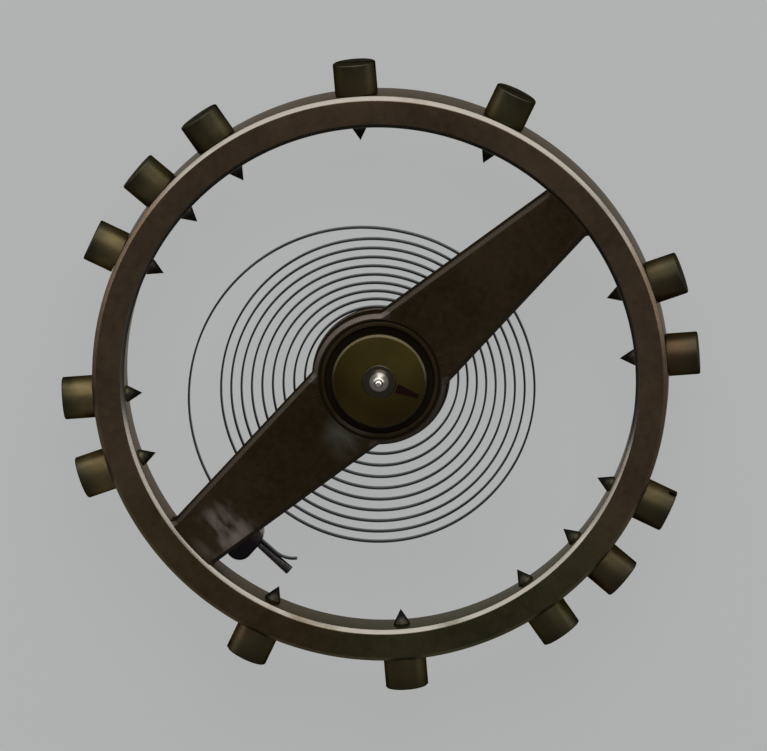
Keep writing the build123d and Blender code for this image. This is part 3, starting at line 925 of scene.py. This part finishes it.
def strip_points(line, profile):
    """A flat strip: its profile of (sideways, up) carried along a line in the plane, square to it."""
    step = np.gradient(line, axis=0)
    step = step / np.linalg.norm(step, axis=1)[:, None]
    left = np.stack([-step[:, 1], step[:, 0]], axis=1)
    return raised(line[:, None] + left[:, None] * profile[:, :1], strip_middle + profile[:, 1])


strip_corners = np.array([(1, -1), (1, 1), (-1, 1), (-1, -1)]) * (strip_thickness / 2, strip_height / 2)
strip_profile = softened(strip_corners, strip_softness, steps=fine_corner_steps)
strip_body = strip_points(strip_line, strip_profile)
start_cap, end_cap = (0 * end + end.mean(axis=0) for end in strip_body[[0, -1]])
strip_body = np.concatenate([[start_cap], strip_body, [end_cap]])

spring_steel = Finish("spring steel", Metallic=1.0)
rolled = spring_steel.clouds(0.6, stretch=(1, 1, 12))
spring_steel.wire("Base Color", spring_steel.mixed(rolled.between(), *spring_tones))
spring_steel.wire("Roughness", spring_roughness + rolled * rolled_roughness)

hairspring = net_piece("spring", (strip_body, False, True))
hairspring.data.materials.append(spring_steel.material)
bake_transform(hairspring)
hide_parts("hairspring")


def wind_evenly(piece):
    """Find, for each point of a piece, the nearest station of the strip's line; the result is not kept."""
    nearest = np.concatenate([
        np.argmin(((block_of_points[:, None] - strip_line) ** 2).sum(axis=2), axis=1)
        for block_of_points in np.array_split(points_of(piece)[:, :2], search_blocks)
    ])


wind_evenly(hairspring)


# The collet and its pin
# The collet is a split brass ring, pushed friction-tight on the staff behind the wheel.
# The strip's end lies in its cross hole, jammed there by a tapered steel pin.
collet_top = 0.545
collet_bottom = 0.045
collet_chamfer = 0.05
collet_slit_width = 0.1
collet_slit_turn = np.radians(150.0)
collet_slit_start = 0.3
collet_softness = 0.012
collet_columns = 144
pin_fit = 0.01
pin_taper = 0.028
collet_pin_proud = 0.12
pin_softness = 0.02
pin_columns = 64
pin_tones = (0.06, 0.055, 0.054), (0.13, 0.12, 0.118)
pin_roughness = 0.28
drawn_roughness = 0.12


def pinned_hole(strip_offset):
    """A cross hole that holds the strip on edge, a little to one side, with a pin beside it: the hole's
    radius, the pin's, and how far the pin's axis stands from the hole's, away from the strip."""
    hole_radius = np.hypot(strip_height / 2, strip_offset + strip_thickness) + 3 * pin_fit
    return hole_radius, (hole_radius + strip_offset) / 2 - pin_fit, (hole_radius - strip_offset) / 2


collet_profile = softened(
    (
        (collet_seat_radius, collet_bottom),
        (collet_radius - collet_chamfer, collet_bottom), (collet_radius, collet_bottom + collet_chamfer),
        (collet_radius, collet_top - collet_chamfer), (collet_radius - collet_chamfer, collet_top),
        (collet_seat_radius, collet_top),
    ),
    collet_softness,
)
collet = turned_piece("collet_ring", collet_profile, collet_columns, ring=True)
collet_hole_radius, collet_pin_radius, collet_pin_offset = pinned_hole(collet_strip_offset)
hole_middle = heading_point(collet_hole_angle, collet_hole_distance)
hole_reach = np.array([-1, 1]) * (collet_radius + bore_overrun)
hole_ends = raised(hole_middle + heading_point(tongue_heading, hole_reach), strip_middle)
cut_with(collet, rod("cross_hole", *hole_ends, collet_hole_radius))
split_angle = collet_hole_angle + collet_slit_turn
split_reach = (collet_slit_start, collet_radius + bore_overrun)
split_heights = (collet_bottom - bore_overrun, collet_top + bore_overrun)
cut_with(collet, wedge("collet_slit", split_angle, split_reach, collet_slit_width, split_heights))
collet.data.materials.append(brass.material)
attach(collet, "balance")
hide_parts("collet")


def taper_pin(name, middle, along, radius, thin_side, thick_side):
    """A pin whose radius grows evenly along it, with softly rounded ends."""
    profile = softened(
        (
            (0, -thin_side), (radius - pin_taper * thin_side, -thin_side),
            (radius + pin_taper * thick_side, thick_side), (0, thick_side),
        ),
        pin_softness, closed=False,
    )
    axes = np.array([(-along[1], along[0], 0), (0, 0, 1), (along[0], along[1], 0)])
    lying = carried_round(profile, full_turn(pin_columns)) @ axes
    return net_piece(name, (lying + np.append(middle, strip_middle), False, True))


pin_steel = Finish("pin steel", Metallic=1.0)
drawn = pin_steel.clouds(1.5)
pin_steel.wire("Base Color", pin_steel.mixed(drawn.between(), *pin_tones))
pin_steel.wire("Roughness", pin_roughness + drawn * drawn_roughness)

collet_pin = taper_pin(
    "collet_taper_pin",
    middle=hole_middle - heading_point(collet_hole_angle, collet_pin_offset),
    along=-heading_point(tongue_heading, 1.0),
    radius=collet_pin_radius - pin_taper * hole_half_chord,
    thin_side=hole_half_chord,
    thick_side=hole_half_chord + collet_pin_proud,
)
collet_pin.data.materials.append(pin_steel.material)
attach(collet_pin, "balance")
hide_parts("collet_pin")


# The stud and its pin
# The stud is a small steel block with rounded ends, tempered to a purple blue that has worn.
# The balance cock grips its post, and a taper pin jams the strip in its cross hole.
stud_head_height = 0.78
stud_head_chamfer = 0.06
stud_arm_gap = 0.1
stud_top = arm_back - stud_arm_gap
stud_bottom = stud_top - stud_head_height
stud_post_radius = 0.24
stud_post_length = 1.1
stud_post_root = 0.2
stud_post_chamfer = 0.05
stud_strip_offset = 0.05
stud_softness = 0.012
stud_top_softness = 0.02
stud_cap_steps = 33
stud_pin_thin_side = 1.1
stud_pin_thick_side = 1.6
stud_lit_start = -6.6
stud_lit_full = -5.6
blued_tones = (0.02, 0.017, 0.02), (0.105, 0.086, 0.08)
stud_lit_weight = 0.5
wear_patches = 0.3, 0.75
blued_roughness = 0.24
temper_roughness = 0.15
stud_outward = heading_point(stud_heading - np.pi / 2, 1.0)
stud_middle = coil_points[-1] + stud_outward * (stud_head_length / 2 - stud_inner_wall)


def stud_ring(inset, height):
    """The stud's edge, moved inwards: half rounds of radius w/2 - inset about two centres."""
    angle = np.linspace(-np.pi / 2, np.pi / 2, stud_cap_steps)
    cap = heading_point(angle, stud_head_width / 2 - inset) + (stud_head_straight / 2, 0)
    loop = np.concatenate([cap, -cap])
    across = np.array([-stud_outward[1], stud_outward[0]])
    return raised(stud_middle + loop[:, :1] * stud_outward + loop[:, 1:] * across, height)


head_edge = softened(
    (
        (stud_head_width / 2, stud_top), (stud_head_chamfer, stud_top), (0, stud_top - stud_head_chamfer),
        (0, stud_bottom), (stud_head_width / 2, stud_bottom),
    ),
    (0, stud_top_softness, stud_top_softness, stud_softness, 0), closed=False,
)
head_rings = np.stack([stud_ring(inset, height) for inset, height in head_edge])
post_top, post_bottom = stud_bottom + stud_post_root, stud_bottom - stud_post_length
post_profile = softened(
    (
        (0, post_top), (stud_post_radius, post_top), (stud_post_radius, post_bottom + stud_post_chamfer),
        (stud_post_radius - stud_post_chamfer, post_bottom), (0, post_bottom),
    ),
    stud_softness, closed=False,
)
post = carried_round(post_profile, full_turn(pin_columns)) + np.append(stud_middle, 0)

blued_steel = Finish("worn blued steel", Metallic=1.0)
# Painted shade: the stud is painted darker towards its end away from the staff as its shaded side, mixed
# with real wear in its temper colours.
temper = blued_steel.clouds(1.1)
stud_lit_share = blued_steel.along("X").between(stud_lit_start, stud_lit_full)
wear_and_light = (temper * (1 - stud_lit_weight) + stud_lit_share * stud_lit_weight).between(*wear_patches)
blued_steel.wire("Base Color", blued_steel.mixed(wear_and_light, *blued_tones))
blued_steel.wire("Roughness", blued_roughness + temper * temper_roughness)

stud = net_piece("stud_block", (head_rings, False, True))
stud_hole_radius, stud_pin_radius, stud_pin_offset = pinned_hole(stud_strip_offset)
stud_hole_middle = coil_points[-1] + stud_outward * (stud_strip_offset + strip_thickness / 2)
stud_hole_ends = raised(stud_hole_middle + np.stack([-stud_along, stud_along]), strip_middle)
cut_with(stud, rod("stud_hole", *stud_hole_ends, stud_hole_radius))
stud_post = net_piece("stud_foot", (post, False, True))
stud_pin = taper_pin(
    "stud_taper_pin",
    middle=stud_hole_middle + stud_outward * stud_pin_offset,
    along=stud_along,
    radius=stud_pin_radius - pin_taper * stud_head_width / 2,
    thin_side=stud_pin_thin_side,
    thick_side=stud_pin_thick_side,
)
for piece, node, finish, slot in (
    (stud, "stud", blued_steel, "blued_steel"),
    (stud_post, "stud", blued_steel, "blued_steel"),
    (stud_pin, "stud_pin", pin_steel, "pin_steel"),
):
    piece.data.materials.append(finish.material)
    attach(piece, "stud")
    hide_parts(node)


# The floor
# A plain pale sheet under the object, on which it stands on its lower pivot.
# It is part of the scene and not of the object.
floor_half_width = 600.0
backdrop_share = 0.8
backdrop_grey = (0.472, 0.482, 0.477)

floor_corners = np.array([(-1, -1), (1, -1), (1, 1), (-1, 1)]) * floor_half_width
floor = made_piece("floor", raised(floor_corners, -staff_top), np.array([(0, 1, 2, 3)]))
paper = Finish("pale paper", Base_Color=backdrop_grey, Roughness=0.9, Specular_IOR_Level=0.0)
lit = Wire(paper, paper.shader.outputs[0])
glow = paper.node("ShaderNodeEmission", {}, {"Color": backdrop_grey, "Strength": 1.0})
ray_kinds = ("Camera", "Glossy", "Transmission")
seen = sum(paper.node("ShaderNodeLightPath", {}, {}, f"Is {kind} Ray") for kind in ray_kinds)
surface = paper.node("ShaderNodeMixShader", {}, {0: seen * backdrop_share, 1: lit, 2: glow})
paper.feed(paper.nodes["Material Output"].inputs["Surface"], surface)
floor.data.materials.append(paper.material)


# The light and the camera
# Soft studio light: a long soft box low above the picture, three smaller ones, and a pale room.
# The camera looks nearly down the staff from the roller's side, as in the photograph.
camera_tilt = np.radians(12.0)
tilt_heading = np.radians(33.6)
image_turn = np.radians(75.6)
camera_distance = 338.2
pixel_size = 0.029412
picture_width, picture_height = 767, 751
tip_pixel = np.array([378.3, 384.7])
sensor_width = 36.0
near_clip = 10.0
room_strength = 0.25

towards_tilt = np.append(heading_point(tilt_heading, 1.0), 0)
beside_tilt = np.append(heading_point(tilt_heading + np.pi / 2, 1.0), 0)
staff_up = np.array([0, 0, 1.0])
to_camera = np.sin(camera_tilt) * towards_tilt + np.cos(camera_tilt) * staff_up
leaning = np.cos(camera_tilt) * towards_tilt - np.sin(camera_tilt) * staff_up
picture_right = np.cos(image_turn) * leaning - np.sin(image_turn) * beside_tilt
picture_up = np.sin(image_turn) * leaning + np.cos(image_turn) * beside_tilt
tip_offset = (np.array([picture_width, picture_height]) / 2 - tip_pixel) * pixel_size
aim = np.array([0, 0, staff_top]) + tip_offset[0] * picture_right - tip_offset[1] * picture_up
camera_place = (aim + camera_distance * to_camera) * MILLIMETRE
camera_data = bpy.data.cameras.new("camera")
camera_data.sensor_width = sensor_width
camera_data.lens = sensor_width * camera_distance / (picture_width * pixel_size)
camera_data.clip_start = near_clip * MILLIMETRE
camera = bpy.data.objects.new("camera", camera_data)
camera_axes = Matrix(np.array([picture_right, picture_up, to_camera]).T.tolist()).to_4x4()
camera.matrix_world = Matrix.Translation(camera_place.tolist()) @ camera_axes
bpy.context.scene.collection.objects.link(camera)
bpy.context.scene.camera = camera


def soft_box(name, shares, distance, width, height, radiance):
    """A lamp that faces the object from a direction, given by its shares of the picture's top, of the
    picture's right and of up. It is as bright per area as asked: power = radiance pi width height."""
    lamp_data = bpy.data.lights.new(name, "AREA")
    lamp_data.shape = "RECTANGLE"
    lamp_data.size, lamp_data.size_y = width * MILLIMETRE, height * MILLIMETRE
    lamp_data.energy = radiance * np.pi * lamp_data.size * lamp_data.size_y
    lamp = bpy.data.objects.new(name, lamp_data)
    direction = Vector(np.array(shares) @ lamp_axes).normalized()
    lamp.location = direction * distance * MILLIMETRE
    lamp.rotation_euler = direction.to_track_quat("Z", "Y").to_euler()
    lamp.visible_camera = False
    bpy.context.scene.collection.objects.link(lamp)


lamp_axes = np.array([picture_up * (1, 1, 0), picture_right * (1, 1, 0), staff_up])
soft_box("long_box", (1, -0.05, 0.21), distance=250, width=900, height=110, radiance=3.4)
soft_box("right_box", (0.25, 1, 0.14), distance=250, width=140, height=70, radiance=3.0)
soft_box("left_box", (0.26, -0.97, 0.12), distance=250, width=120, height=60, radiance=2.5)
soft_box("high_box", (0.95, 0.15, 1), distance=300, width=200, height=200, radiance=2.6)
world = bpy.data.worlds.new("room")
world.use_nodes = True
room_light = world.node_tree.nodes["Background"].inputs
room_light["Color"].default_value = (1, 1, 1, 1)
room_light["Strength"].default_value = room_strength
bpy.context.scene.world = world

bpy.context.scene.view_settings.view_transform = "Standard"
